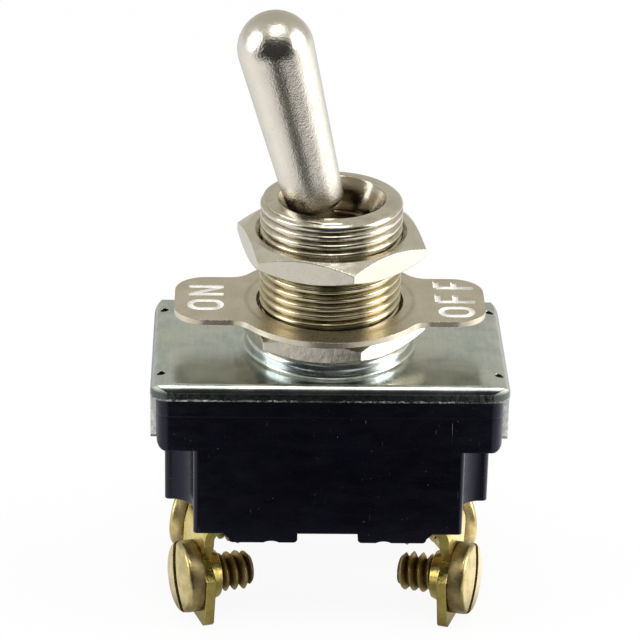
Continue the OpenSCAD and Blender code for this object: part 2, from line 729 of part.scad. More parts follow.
base();
frame_cover();
liner();
bushing();
ball_keeper();
lever();
slider();
bridge(-1);  // bridge_front
bridge(1);  // bridge_rear
quarter(false, false) contact(feed_pad_l, 0.5);  // contact_front_left
quarter(true, false) contact(make_pad_l, -0.8);  // contact_front_right
quarter(false, true) contact(feed_pad_l, 0.5);  // contact_rear_left
quarter(true, true) contact(make_pad_l, -0.8);  // contact_rear_right
quarter(false, false) terminal();  // terminal_front_left
quarter(true, false) terminal();  // terminal_front_right
quarter(false, true) terminal();  // terminal_rear_left
quarter(true, true) terminal();  // terminal_rear_right
quarter(false, false) screw();  // screw_front_left
quarter(true, false) screw();  // screw_front_right
quarter(false, true) screw();  // screw_rear_left
quarter(true, true) screw();  // screw_rear_right
backing_nut();
on_off_plate();
face_nut();
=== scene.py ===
# Looks of the panel toggle switch. Metres throughout, in the CAD model's frame:
# +X is the OFF side, -Y faces the camera, +Z goes up along the bushing.
import json
import math
import bpy
import bmesh
from mathutils import Matrix, Vector


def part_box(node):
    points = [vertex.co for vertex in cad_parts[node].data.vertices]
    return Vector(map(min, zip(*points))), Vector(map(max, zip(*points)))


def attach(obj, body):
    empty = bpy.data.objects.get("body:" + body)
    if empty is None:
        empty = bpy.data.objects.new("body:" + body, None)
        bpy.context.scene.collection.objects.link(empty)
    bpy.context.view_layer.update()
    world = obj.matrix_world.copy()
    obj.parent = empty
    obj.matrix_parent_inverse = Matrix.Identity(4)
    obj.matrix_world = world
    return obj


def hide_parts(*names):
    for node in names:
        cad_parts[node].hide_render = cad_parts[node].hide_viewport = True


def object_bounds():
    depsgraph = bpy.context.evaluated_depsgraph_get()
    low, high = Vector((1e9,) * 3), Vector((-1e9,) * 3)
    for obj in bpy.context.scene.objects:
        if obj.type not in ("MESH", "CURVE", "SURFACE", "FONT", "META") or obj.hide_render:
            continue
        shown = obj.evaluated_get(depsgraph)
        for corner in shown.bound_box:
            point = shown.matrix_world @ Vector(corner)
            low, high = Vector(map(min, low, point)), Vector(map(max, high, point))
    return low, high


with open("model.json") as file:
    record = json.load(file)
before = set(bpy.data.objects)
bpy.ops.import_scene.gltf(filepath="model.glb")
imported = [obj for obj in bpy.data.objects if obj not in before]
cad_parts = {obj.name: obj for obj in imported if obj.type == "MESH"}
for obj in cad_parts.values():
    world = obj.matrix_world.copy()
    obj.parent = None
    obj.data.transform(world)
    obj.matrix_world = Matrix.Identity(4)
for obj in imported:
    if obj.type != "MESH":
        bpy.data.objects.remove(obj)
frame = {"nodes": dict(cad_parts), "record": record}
cad_box = [list(v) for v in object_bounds()]
NODES = frame["nodes"]
MM = 0.001


# ---- shader helpers --------------------------------------------------------

class Shader:
    """The nodes of a material or a world under construction. node() adds a node
    and wires its inputs. Sizes ending in _mm are millimetres."""

    def __init__(self, owner, output="ShaderNodeOutputMaterial", coordinates="Object"):
        owner.use_nodes = True
        self.owner = owner
        self.nt = owner.node_tree
        self.nt.nodes.clear()
        self.out = self.nt.nodes.new(output)
        self.coord = self.nt.nodes.new("ShaderNodeTexCoord").outputs[coordinates]

    def node(self, kind, props=None, **inputs):
        """An input is named with _ for a space, or is _ and its number."""
        n = self.nt.nodes.new(kind)
        for k, v in (props or {}).items():
            setattr(n, k, v)
        for k, v in inputs.items():
            self.set(n, int(k[1:]) if k[0] == "_" else k.replace("_", " "), v)
        return n

    def set(self, n, key, v):
        if isinstance(v, bpy.types.NodeSocket):
            self.nt.links.new(v, n.inputs[key])
        else:
            n.inputs[key].default_value = v

    def finish(self, surface):
        self.nt.links.new(surface, self.out.inputs[0])
        return self.owner

    def principled(self, **inputs):
        return self.finish(self.node("ShaderNodeBsdfPrincipled", **inputs).outputs[0])

    # numbers
    def math(self, op, a, b=0.0):
        return self.node("ShaderNodeMath", {"operation": op}, _0=a, _1=b).outputs[0]

    def add(self, a, b):
        return self.math("ADD", a, b)

    def sub(self, a, b):
        return self.math("SUBTRACT", a, b)

    def mul(self, a, b):
        return self.math("MULTIPLY", a, b)

    def max(self, a, b):
        return self.math("MAXIMUM", a, b)

    def abs(self, a):
        return self.math("ABSOLUTE", a)

    def average(self, a, b):
        return self.add(self.mul(a, 0.5), self.mul(b, 0.5))

    def ramp(self, fac, lo, hi, a=0.0, b=1.0):
        """fac from lo to hi becomes a to b, smoothly."""
        return self.node("ShaderNodeMapRange", {"interpolation_type": "SMOOTHSTEP"},
                         _0=fac, _1=lo, _2=hi, _3=a, _4=b).outputs[0]

    def ramp_linear(self, fac, lo, hi):
        return self.node("ShaderNodeMapRange", _0=fac, _1=lo, _2=hi, _3=0.0, _4=1.0).outputs[0]

    # places
    def xyz(self):
        return self.node("ShaderNodeSeparateXYZ", _0=self.coord).outputs[:3]

    def radius(self, x, y):
        """Distance from the bushing's axis."""
        return self.math("SQRT", self.add(self.math("POWER", x, 2.0), self.math("POWER", y, 2.0)))

    def ragged(self, value, size_mm, amount_mm):
        """value with an uneven shift of amount_mm from side to side."""
        shift = self.sub(self.noise(size_mm, 4.0, 0.7), 0.5)
        return self.add(value, self.mul(shift, amount_mm * MM))

    # textures and colours
    def noise(self, size_mm, detail=3.0, rough=0.55, stretch=None, distort=0.0, turn=None):
        """Noise with features of about size_mm; stretch divides the frequency per axis."""
        vec = self.coord
        if stretch:
            m = self.node("ShaderNodeMapping", Vector=vec, Scale=[1.0 / f for f in stretch])
            if turn:
                m.inputs["Rotation"].default_value = turn
            vec = m.outputs[0]
        return self.node("ShaderNodeTexNoise", Vector=vec, Scale=1.0 / (size_mm * MM),
                         Detail=detail, Roughness=rough, Distortion=distort).outputs["Fac"]

    def mix(self, fac, a, b):
        n = self.node("ShaderNodeMix", {"data_type": "RGBA"}, _0=fac)
        for key, v in ((6, a), (7, b)):
            self.set(n, key, v if isinstance(v, bpy.types.NodeSocket) else (*v, 1.0))
        return n.outputs[2]

    def tint(self, mask, amount, colour, over):
        """colour over another, where mask is high, at most by amount."""
        return self.mix(self.mul(mask, amount), over, colour)

    # relief
    def bump(self, height, strength, depth_mm, normal=None):
        n = self.node("ShaderNodeBump", Height=height, Strength=strength, Distance=depth_mm * MM)
        if normal is not None:
            self.set(n, "Normal", normal)
        return n.outputs[0]

    def bevel(self, radius_mm):
        return self.node("ShaderNodeBevel", {"samples": 6}, Radius=radius_mm * MM).outputs[0]


def new_shader(name):
    return Shader(bpy.data.materials.new(name))


def metal(name, light, dark, rough, patch_mm=2.0, grain_mm=0.12, grain=0.15, bevel_mm=0.06,
          brush=None, brush_amount=0.0, dents=0.0, dent_mm=0.8, tarnish=None, tarnish_amount=0.0):
    """Plated or bare metal: mottled colour, uneven gloss, grain, fine lines and small dents."""
    s = new_shader(name)
    patches = s.ramp(s.noise(patch_mm, 4.0, 0.6), 0.32, 0.68)
    colour = s.mix(patches, dark, light)
    if tarnish:
        spots = s.ramp(s.noise(patch_mm * 0.45, 5.0, 0.7, distort=0.6), 0.58, 0.72)
        colour = s.tint(spots, tarnish_amount, tarnish, colour)
    fine = s.noise(grain_mm, 2.0)
    gloss = s.ramp(s.average(patches, fine), 0.2, 0.8, *rough)
    normal = s.bevel(bevel_mm)
    if dents:
        normal = s.bump(s.noise(dent_mm, 2.0, 0.5), dents, 0.25, normal)
    if brush:
        normal = s.bump(s.noise(0.09, 2.0, 0.5, stretch=brush), brush_amount, 0.02, normal)
    normal = s.bump(fine, grain, 0.02, normal)
    return s.principled(Base_Color=colour, Metallic=1.0, Roughness=gloss, Normal=normal)


# ---- materials -------------------------------------------------------------

LEAN = math.radians(14.3)  # of the lever at rest, towards -X


def lever_material():
    """Nickel on the bat: a fine orange-peel grain, pits, stains, painted shade on its foot and a darker
    tip.
    """
    s = new_shader("nickel_lever")
    x, _, z = s.xyz()
    patches = s.ramp(s.noise(3.0, 3.0, 0.5), 0.3, 0.7)
    colour = s.mix(patches, (0.66, 0.615, 0.545), (0.72, 0.68, 0.61))
    stains = s.ramp(s.noise(0.5, 4.0, 0.7, distort=0.8), 0.66, 0.74)
    colour = s.tint(stains, 0.35, (0.36, 0.33, 0.28), colour)
    pits = s.ramp(s.noise(0.16, 3.0, 0.75), 0.66, 0.72)
    pits = s.mul(pits, s.ramp(s.noise(2.0, 2.0), 0.5, 0.62))
    colour = s.tint(pits, 0.6, (0.20, 0.17, 0.13), colour)
    # distance up the leaning bat: painted shade on its foot, where the neck under the bat lies in shadow,
    # and a darker tip
    along = s.sub(s.mul(z, math.cos(LEAN)), s.mul(x, math.sin(LEAN)))
    foot = s.ramp(s.ragged(along, 0.5, 0.5), 13.6 * MM, 13.1 * MM)
    colour = s.tint(foot, 0.75, (0.30, 0.25, 0.16), colour)
    tip = s.ramp(along, 29.2 * MM, 30.9 * MM, 0.0, 0.45)
    colour = s.mix(tip, colour, (0.40, 0.37, 0.29))
    worn = s.ramp(z, 29 * MM, 15 * MM, 0.0, 0.07)
    gloss = s.add(s.ramp(s.noise(0.14, 3.0, 0.7), 0.25, 0.75, 0.10, 0.22), worn)
    normal = s.bump(s.noise(1.3, 2.0), 0.30, 0.05)
    normal = s.bump(s.noise(0.60, 3.0, 0.6), 0.38, 0.055, normal)
    normal = s.bump(s.noise(0.15, 2.0, 0.7), 0.75, 0.034, normal)
    return s.principled(Base_Color=colour, Metallic=1.0, Roughness=gloss, Normal=normal)


def zinc_material():
    """Zinc-plated sheet: a cool blue-green tinge, soft blotches and stretch marks."""
    s = new_shader("zinc_plated_steel")
    _, y, z = s.xyz()
    blotch = s.ramp(s.noise(2.6, 4.0, 0.6, distort=0.4), 0.3, 0.7)
    colour = s.mix(blotch, (0.42, 0.475, 0.465), (0.60, 0.64, 0.61))
    rolled = s.ramp(s.noise(0.30, 3.0, 0.6, stretch=(1.0, 9.0, 9.0)), 0.40, 0.62)
    colour = s.tint(rolled, 0.22, (0.72, 0.75, 0.72), colour)
    film = s.ramp(s.noise(5.5, 2.0, 0.5), 0.45, 0.7)
    colour = s.tint(film, 0.35, (0.66, 0.65, 0.54), colour)
    flecks = s.ramp(s.noise(0.22, 3.0, 0.7), 0.63, 0.75)
    colour = s.tint(flecks, 0.5, (0.82, 0.84, 0.82), colour)
    # painted dark reflection: the sheet is coloured near black where it is bent down, standing in for the
    # dark front that the lip reflects
    low = s.ramp(z, -0.28 * MM, -0.75 * MM)
    colour = s.tint(low, 0.92, (0.060, 0.070, 0.070), colour)
    # a broken burr along the lip's lower edge
    lip_edge = -1.31 * MM
    off_edge = s.abs(s.sub(s.ragged(z, 0.55, 0.30), lip_edge))
    burr = s.ramp(off_edge, 0.05 * MM, 0.12 * MM, 1.0, 0.0)
    burr = s.mul(burr, s.ramp(s.noise(0.35, 4.0, 0.75), 0.36, 0.66))
    burr = s.mul(burr, s.ramp(s.noise(4.0, 2.0, 0.5), 0.35, 0.65, 0.35, 1.0))
    colour = s.mix(burr, colour, (0.50, 0.52, 0.50))
    # the end flanges' sheared edges are pale and matt
    below_lip = s.ramp(z, -1.42 * MM, -1.50 * MM)
    sheared = s.mul(below_lip, s.ramp(s.abs(y), 6.45 * MM, 6.55 * MM))
    torn = s.ramp(s.noise(0.5, 4.0, 0.7), 0.35, 0.65)
    colour = s.mix(sheared, colour, s.mix(torn, (0.62, 0.63, 0.60), (0.92, 0.93, 0.91)))
    metallic = s.ramp(s.max(sheared, burr), 0.0, 1.0, 1.0, 0.25)
    fine = s.noise(0.11, 3.0, 0.6)
    gloss = s.add(s.ramp(s.average(fine, blotch), 0.2, 0.8, 0.11, 0.25), s.mul(burr, 0.35))
    drawn = s.noise(0.5, 4.0, 0.75, stretch=(1.0, 1.0, 2.2), distort=0.7)
    normal = s.bevel(0.10)
    normal = s.bump(s.noise(2.2, 2.0, 0.5), 0.16, 0.10, normal)
    normal = s.bump(s.mul(drawn, low), 0.35, 0.12, normal)
    normal = s.bump(fine, 0.22, 0.015, normal)
    return s.principled(Base_Color=colour, Metallic=metallic, Roughness=gloss, Normal=normal)


def phenolic_material():
    """Moulded black phenolic with dust, hairs, smears and a parting line."""
    s = new_shader("black_phenolic")
    _, _, z = s.xyz()
    mottle = s.ramp(s.noise(3.5, 4.0, 0.6), 0.3, 0.7)
    colour = s.mix(mottle, (0.0007, 0.0007, 0.0026), (0.0016, 0.0016, 0.0046))
    dust = s.ramp(s.noise(0.20, 2.0, 0.5), 0.735, 0.80)
    dust = s.mul(dust, s.ramp(s.noise(3.0, 2.0), 0.42, 0.62))
    colour = s.tint(dust, 0.45, (0.34, 0.34, 0.35), colour)
    hair = s.noise(0.10, 1.0, 0.4, stretch=(1.0, 1.0, 22.0), turn=(0.0, 0.75, 0.3), distort=0.25)
    hair = s.mul(s.ramp(hair, 0.755, 0.80), s.ramp(s.noise(2.4, 1.0), 0.52, 0.60))
    colour = s.tint(hair, 0.35, (0.30, 0.30, 0.32), colour)
    smear = s.noise(1.1, 4.0, 0.7, stretch=(2.6, 2.6, 1.0))
    gloss = s.ramp(smear, 0.3, 0.75, 0.22, 0.36)
    parting_line = -3.14 * MM
    seam = s.ramp(s.abs(s.sub(z, parting_line)), 0.02 * MM, 0.09 * MM)
    normal = s.bevel(0.16)
    normal = s.bump(s.noise(2.6, 2.0, 0.5), 0.10, 0.10, normal)
    normal = s.bump(s.noise(0.16, 2.0, 0.5), 0.10, 0.012, normal)
    normal = s.bump(seam, 0.5, 0.03, normal)
    return s.principled(Base_Color=colour, Roughness=gloss, Specular_IOR_Level=0.42,
                        Specular_Tint=(0.72, 0.74, 1.0, 1.0), Normal=normal)


def bushing_material():
    """Nickel-plated thread, yellower low down, with painted shade in the thread's roots, down the mouth
    and in the throat.
    """
    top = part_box("bushing")[1].z
    s = new_shader("nickel_bushing")
    x, y, z = s.xyz()
    r = s.radius(x, y)
    patches = s.ramp(s.noise(1.6, 4.0, 0.6), 0.32, 0.68)
    high = s.ramp(z, 8.5 * MM, 12.5 * MM)
    colour = s.mix(patches, s.mix(high, (0.50, 0.44, 0.29), (0.54, 0.495, 0.41)),
                   s.mix(high, (0.62, 0.56, 0.40), (0.67, 0.625, 0.53)))
    spots = s.ramp(s.noise(0.7, 5.0, 0.7, distort=0.6), 0.60, 0.72)
    colour = s.tint(spots, 0.30, (0.36, 0.27, 0.13), colour)
    # painted shade: the thread's roots below the rim are coloured dark brown
    root = s.ramp(r, 5.50 * MM, 5.74 * MM, 1.0, 0.0)
    under_rim = s.ramp(z, top - 0.8 * MM, top - 0.5 * MM, 0.75, 0.0)
    colour = s.mix(s.mul(root, under_rim), colour, (0.13, 0.095, 0.055))
    # painted shade: the mouth's wall is coloured darker, and near black deep in the throat
    inside = s.ramp(r, 4.46 * MM, 4.56 * MM, 1.0, 0.0)
    colour = s.tint(inside, 0.75, (0.43, 0.395, 0.32), colour)
    deep = s.ramp(z, top - 2.75 * MM, top - 2.1 * MM, 1.0, 0.06)
    colour = s.mix(s.mul(inside, deep), colour, (0.12, 0.085, 0.055))
    fine = s.noise(0.10, 2.0)
    gloss = s.ramp(s.average(patches, fine), 0.2, 0.8, 0.11, 0.23)
    gloss = s.mul(gloss, s.ramp(inside, 0.0, 1.0, 1.0, 0.7))
    normal = s.bump(s.noise(0.5, 3.0, 0.6), 0.18, 0.05)
    normal = s.bump(fine, 0.20, 0.02, normal)
    return s.principled(Base_Color=colour, Metallic=1.0, Roughness=gloss, Normal=normal)


def screw_material():
    """Dull turned brass, red-brown where the mesh's dirt_and_painted_shade attribute is high: partly dirt,
    partly painted shade.
    """
    s = new_shader("turned_brass")
    patches = s.ramp(s.noise(1.0, 4.0, 0.6), 0.32, 0.68)
    colour = s.mix(patches, (0.40, 0.315, 0.13), (0.56, 0.455, 0.22))
    spots = s.ramp(s.noise(0.45, 5.0, 0.7, distort=0.6), 0.60, 0.72)
    colour = s.tint(spots, 0.5, (0.24, 0.15, 0.05), colour)
    dirt_and_painted_shade = s.node("ShaderNodeAttribute", {"attribute_name": "dirt_and_painted_shade"}).outputs["Fac"]
    dirt_and_painted_shade = s.mul(dirt_and_painted_shade, s.ramp(s.noise(0.6, 3.0, 0.6), 0.25, 0.6, 0.6, 1.0))
    # dark red-brown where dirt and painted shade lie
    colour = s.mix(s.ramp(dirt_and_painted_shade, 0.15, 0.95, 0.0, 0.92), colour, (0.15, 0.075, 0.028))
    fine = s.noise(0.11, 2.0)
    gloss = s.add(s.ramp(fine, 0.2, 0.8, 0.24, 0.40), s.mul(dirt_and_painted_shade, 0.35))
    normal = s.bump(s.noise(0.6, 2.0, 0.5), 0.15, 0.20, s.bevel(0.08))
    normal = s.bump(fine, 0.25, 0.02, normal)
    return s.principled(Base_Color=colour, Metallic=1.0, Roughness=gloss, Normal=normal)


def groove_material():
    """Painted highlight: the bottom of the stamped letters is coloured near white, standing in for the
    glint that they catch.
    """
    s = new_shader("letter_painted_highlight")
    patches = s.ramp(s.noise(0.4, 4.0, 0.6), 0.32, 0.68)
    colour = s.mix(patches, (0.90, 0.88, 0.83), (1.0, 0.99, 0.96))
    normal = s.bump(s.noise(0.12, 3.0, 0.6), 0.4, 0.015)
    return s.principled(Base_Color=colour, Metallic=0.15, Roughness=0.42, Normal=normal)


def plate_material():
    """Nickel-plated sheet, with the faint ring that a washer has worn round the hole."""
    s = new_shader("nickel_plate")
    x, y, _ = s.xyz()
    ring_r = 7.05 * MM
    off_ring = s.abs(s.sub(s.radius(x, y), ring_r))
    worn = s.sub(1.0, s.ramp(off_ring, 0.05 * MM, 0.30 * MM))
    patches = s.ramp(s.noise(2.2, 4.0, 0.6), 0.3, 0.7)
    colour = s.mix(patches, (0.59, 0.53, 0.42), (0.68, 0.62, 0.51))
    colour = s.tint(worn, 0.30, (0.33, 0.29, 0.22), colour)
    fine = s.noise(0.12, 3.0, 0.6)
    gloss = s.add(s.ramp(fine, 0.2, 0.8, 0.24, 0.36), s.mul(worn, 0.08))
    normal = s.bump(s.noise(1.4, 2.0), 0.10, 0.06, s.bevel(0.07))
    normal = s.bump(fine, 0.25, 0.012, normal)
    return s.principled(Base_Color=colour, Metallic=1.0, Roughness=gloss, Normal=normal)


def fibre_material():
    s = new_shader("vulcanised_fibre")
    mottle = s.ramp(s.noise(1.2, 5.0, 0.7), 0.3, 0.7)
    colour = s.mix(mottle, (0.20, 0.11, 0.06), (0.30, 0.18, 0.10))
    normal = s.bump(s.noise(0.10, 3.0, 0.7, stretch=(3.0, 1.0, 1.0)), 0.5, 0.03)
    return s.principled(Base_Color=colour, Roughness=0.7, Normal=normal)


def resin_material():
    s = new_shader("laminate_resin")
    mottle = s.ramp(s.noise(0.8, 5.0, 0.7), 0.3, 0.7)
    colour = s.mix(mottle, (0.26, 0.19, 0.11), (0.36, 0.27, 0.17))
    normal = s.bump(s.noise(0.14, 3.0, 0.7, stretch=(1.0, 1.0, 0.3)), 0.4, 0.03, s.bevel(0.1))
    return s.principled(Base_Color=colour, Roughness=0.55, Normal=normal)


NICKEL_LEVER = lever_material()
NICKEL_BUSHING = bushing_material()
NICKEL_NUT = metal("nickel_nut", (0.70, 0.665, 0.58), (0.63, 0.585, 0.49), (0.18, 0.30), patch_mm=1.8,
                   grain_mm=0.13, grain=0.22, bevel_mm=0.14, dents=0.12, dent_mm=1.1)
NICKEL_PLATE = plate_material()
LETTER_PAINTED_HIGHLIGHT = groove_material()
ZINC = zinc_material()
PHENOLIC = phenolic_material()
BRASS = metal("stamped_brass", (0.68, 0.55, 0.18), (0.50, 0.39, 0.10), (0.18, 0.34), patch_mm=1.4,
              grain_mm=0.12, grain=0.25, bevel_mm=0.10, dents=0.15, dent_mm=0.7,
              brush=(1.0, 1.0, 6.0), brush_amount=0.25, tarnish=(0.28, 0.19, 0.04), tarnish_amount=0.6)
SCREW_BRASS = screw_material()
CONTACT = metal("contact_alloy", (0.72, 0.45, 0.27), (0.60, 0.34, 0.19), (0.24, 0.40), patch_mm=0.8,
                bevel_mm=0.05)
FIBRE = fibre_material()
RESIN = resin_material()

# CAD nodes that keep their own mesh; a name matches from its start
DRESS = {"base": PHENOLIC, "frame_cover": ZINC, "liner": FIBRE, "ball_keeper": NICKEL_BUSHING,
         "lever": NICKEL_LEVER, "slider": RESIN, "backing_nut": NICKEL_NUT, "face_nut": NICKEL_NUT,
         "terminal": BRASS, "contact": CONTACT, "bridge": CONTACT}
for name, obj in NODES.items():
    for start, mat in DRESS.items():
        if name.startswith(start):
            obj.data.materials.clear()
            obj.data.materials.append(mat)


# ---- geometry helpers ------------------------------------------------------

def link(name, data):
    obj = bpy.data.objects.new(name, data)
    bpy.context.scene.collection.objects.link(obj)
    return obj


def smooth(obj, sharp_deg=None):
    """Smooth shading, but for edges sharper than sharp_deg."""
    for p in obj.data.polygons:
        p.use_smooth = True
    if sharp_deg:
        obj.data.set_sharp_from_angle(angle=math.radians(sharp_deg))


def stand_for(obj, node):
    """The piece takes the place of a CAD node on the housing."""
    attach(obj, "housing")
    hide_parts(node)


def revolve(name, rings, columns, mat):
    """Object turned about +Z. rings are (r, z) pairs, or functions of the angle
    that return one."""
    verts, faces = [], []
    for ring in rings:
        for c in range(columns):
            a = 2 * math.pi * c / columns
            r, z = ring(a) if callable(ring) else ring
            verts.append((r * math.cos(a), r * math.sin(a), z))
    for i in range(len(rings) - 1):
        lower, upper = i * columns, (i + 1) * columns
        for c in range(columns):
            d = (c + 1) % columns
            faces.append((lower + c, lower + d, upper + d, upper + c))
    me = bpy.data.meshes.new(name)
    me.from_pydata(verts, [], faces)
    me.validate()
    bm = bmesh.new()
    bm.from_mesh(me)
    bmesh.ops.remove_doubles(bm, verts=bm.verts, dist=1e-7)
    bmesh.ops.recalc_face_normals(bm, faces=bm.faces)
    bm.to_mesh(me)
    bm.free()
    me.materials.append(mat)
    return link(name, me)


def thread_depth(z, angle, pitch, depth, phase=0.0, power=3.0):
    """How far a right-hand thread lies below its crest: the higher the power, the
    rounder the crest and the thinner the root."""
    u = ((z - phase) / pitch - angle / (2 * math.pi)) % 1.0
    d = 2 * abs(u if u <= 0.5 else 1.0 - u)
    return depth * d ** power


def cut(obj, cutter):
    """Takes the cutter out of the object, and deletes the cutter."""
    m = obj.modifiers.new("cut", "BOOLEAN")
    m.operation, m.object, m.solver = "DIFFERENCE", cutter, "EXACT"
    bpy.context.view_layer.update()
    dg = bpy.context.evaluated_depsgraph_get()
    me = bpy.data.meshes.new_from_object(obj.evaluated_get(dg))
    obj.modifiers.clear()
    old, obj.data = obj.data, me
    bpy.data.meshes.remove(old)
    bpy.data.objects.remove(cutter)


# ---- bushing with its thread -----------------------------------------------

BUSHING_R = 5.95 * MM
BUSHING_PITCH = 0.794 * MM
BUSHING_THREAD_DEPTH = 0.48 * MM
BUSHING_THREAD_START = 10.55 * MM
FLANGE_H = 1.4 * MM
FLANGE_EDGE = 0.2 * MM
# the rounded outer edge of the rim
RIM_H, RIM_W = 0.62 * MM, 1.05 * MM
# rim, funnel and throat: radius and depth below the top, in millimetres
MOUTH = ((4.72, 0.0), (4.60, 0.03), (4.50, 0.10), (4.44, 0.24), (3.94, 1.36), (3.48, 2.40),
         (3.40, 2.64), (3.30, 2.78), (3.24, 2.80), (3.20, 2.86), (3.20, 4.20))
# the ball's room under the throat
BALL_ROOM_R, PIVOT_Z = 3.66 * MM, 7.5 * MM
BOTTOM_R = 3.6 * MM


def build_bushing():
    lo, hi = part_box("bushing")
    top, bottom = hi.z, lo.z
    shoulder = bottom + FLANGE_H

    def threaded(z):
        rise = (z - (top - RIM_H)) / RIM_H
        limit = BUSHING_R
        if rise > 0:
            limit -= RIM_W * (1 - math.sqrt(max(0.0, 1 - rise * rise)))
        if z < shoulder + 0.5 * MM:
            limit = min(limit, BUSHING_R - 0.25 * MM)  # relief groove over the flange

        def ring(a):
            below = thread_depth(z, a + math.pi / 2, BUSHING_PITCH, BUSHING_THREAD_DEPTH,
                                 BUSHING_THREAD_START)
            return min(BUSHING_R - below, limit), z
        return ring

    rings = [(BOTTOM_R, bottom), (hi.x, bottom)]
    rings += [(hi.x, shoulder - FLANGE_EDGE), (hi.x - FLANGE_EDGE, shoulder)]
    steps = int((top - shoulder) / (BUSHING_PITCH / 16))
    rings += [threaded(shoulder + (top - shoulder) * i / steps) for i in range(steps + 1)]
    rings += [(r * MM, top - below * MM) for r, below in MOUTH]
    rings += [(BALL_ROOM_R, PIVOT_Z), (BALL_ROOM_R, bottom), (BOTTOM_R, bottom)]
    obj = revolve("bushing_threaded", rings, 144, NICKEL_BUSHING)
    smooth(obj)
    stand_for(obj, "bushing")


# ---- terminal screws -------------------------------------------------------

SCREW_R, SCREW_L = 1.70 * MM, 5.0 * MM
SCREW_TIP_R, SCREW_TIP_BEVEL = 1.10 * MM, 0.50 * MM
SCREW_PITCH, SCREW_THREAD_DEPTH = 0.83 * MM, 0.55 * MM
HEAD_R, HEAD_H = 3.10 * MM, 1.75 * MM
HEAD_EDGE = 0.40 * MM
DOME_R = 14.0 * MM
SLOT_W, SLOT_D = 0.8 * MM, 1.0 * MM
# how far each slot is turned, in degrees
SLOT_TURNS = {"screw_front_left": 28, "screw_front_right": -28,
              "screw_rear_left": 24, "screw_rear_right": -15}


def block(size, at, turn):
    """A plain box, turned about +Z, used only as a cutter."""
    me = bpy.data.meshes.new("cutter")
    bm = bmesh.new()
    bmesh.ops.create_cube(bm, size=1.0)
    place = Matrix.Rotation(turn, 4, "Z") @ Matrix.Translation(at) @ Matrix.Diagonal((*size, 1))
    bmesh.ops.transform(bm, matrix=place, verts=bm.verts)
    bm.to_mesh(me)
    bm.free()
    return link("cutter", me)


def screw_frame(node):
    """Frame of a terminal screw: its axis outward along +Z, from the wire's mount."""
    mount_name = node.replace("screw", "wire")
    mount = next(m for m in frame["record"]["mounts"] if m["name"] == mount_name)
    out = Vector(mount["axis"]).normalized()
    side = Vector((0, 0, 1)).cross(out).normalized()
    up = out.cross(side)
    return Matrix.Translation(mount["pos_m"]) @ Matrix((side, up, out)).transposed().to_4x4()


def screw_rings():
    def shank(z):
        tip = SCREW_R - max(0.0, SCREW_TIP_BEVEL - (z + SCREW_L))

        def ring(a):
            below = thread_depth(z, a, SCREW_PITCH, SCREW_THREAD_DEPTH, power=1.25)
            return min(SCREW_R - below, tip), z
        return ring

    def dome(r):
        return HEAD_H - DOME_R + math.sqrt(DOME_R ** 2 - r ** 2)

    steps, arc = 108, 8
    rings = [(0.0, -SCREW_L), (SCREW_TIP_R, -SCREW_L)]
    rings += [shank(-SCREW_L + SCREW_L * i / steps) for i in range(steps + 1)]
    rings += [(HEAD_R - 0.10 * MM, 0.0), (HEAD_R, 0.08 * MM)]
    face_r = HEAD_R - HEAD_EDGE
    for i in range(arc + 1):
        a = math.pi / 2 * i / arc
        rings.append((face_r + HEAD_EDGE * math.cos(a), dome(face_r) - HEAD_EDGE * (1 - math.sin(a))))
    for i in range(1, arc + 1):
        r = face_r * (1 - i / arc)
        rings.append((r, dome(r)))
    return rings


def screw_dirt_and_painted_shade(p):
    """Darker colour, partly dirt and partly painted shade, in the thread's roots, under the head and in
    the slot.
    """
    r = math.hypot(p.x, p.y)
    if p.z < -0.02 * MM:
        return min(1.0, max(0.0, (SCREW_R - r) / (0.50 * MM)) + 0.06)
    if p.z < 0.12 * MM:
        return 0.8
    in_slot = p.z < HEAD_H - 0.7 * MM and r < HEAD_R - 0.06 * MM
    return 0.35 if in_slot else 0.0


def build_screw(node, turn):
    obj = revolve(node + "_threaded", screw_rings(), 72, SCREW_BRASS)
    smooth(obj)
    slot = (SLOT_W, 8 * MM, 2 * SLOT_D)
    cut(obj, block(slot, (0, 0, HEAD_H + 0.02 * MM), math.radians(turn)))
    smooth(obj, 38)
    dirt_and_painted_shade = obj.data.attributes.new("dirt_and_painted_shade", "FLOAT", "POINT")
    for item, v in zip(dirt_and_painted_shade.data, obj.data.vertices):
        item.value = screw_dirt_and_painted_shade(v.co)
    obj.data.transform(screw_frame(node))
    stand_for(obj, node)


# ---- on-off plate with its stamped words -----------------------------------

# a letter is cut by a round bar, which lies this high over the plate
STROKE_R = 0.30 * MM
STROKE_RISE = 0.14 * MM


def stroke(points, closed, plate_top):
    """A round cutter along a line of (x, y) points in millimetres."""
    cu = bpy.data.curves.new("stroke", "CURVE")
    cu.dimensions = "3D"
    cu.bevel_depth = STROKE_R
    cu.bevel_resolution = 3
    cu.use_fill_caps = True
    sp = cu.splines.new("POLY")
    sp.points.add(len(points) - 1)
    for p, (x, y) in zip(sp.points, points):
        p.co = (x * MM, y * MM, plate_top + STROKE_RISE, 1)
    sp.use_cyclic_u = closed
    tmp = link("stroke", cu)
    bpy.context.view_layer.update()
    dg = bpy.context.evaluated_depsgraph_get()
    me = bpy.data.meshes.new_from_object(tmp.evaluated_get(dg))
    bpy.data.objects.remove(tmp)
    return link("stroke_mesh", me)


# Letters lie on their sides, with their tops towards -X. Each takes the box that
# it fills, in millimetres, and gives its strokes as (points, closed).

def letter_o(x0, x1, y0, y1):
    r = (y1 - y0) / 2
    cy = (y0 + y1) / 2
    half_turn = [math.pi * i / 10 for i in range(11)]
    pts = [(x0 + r - r * math.sin(a), cy - r * math.cos(a)) for a in half_turn]
    pts += [(x1 - r + r * math.sin(a), cy + r * math.cos(a)) for a in half_turn]
    return [(pts, True)]


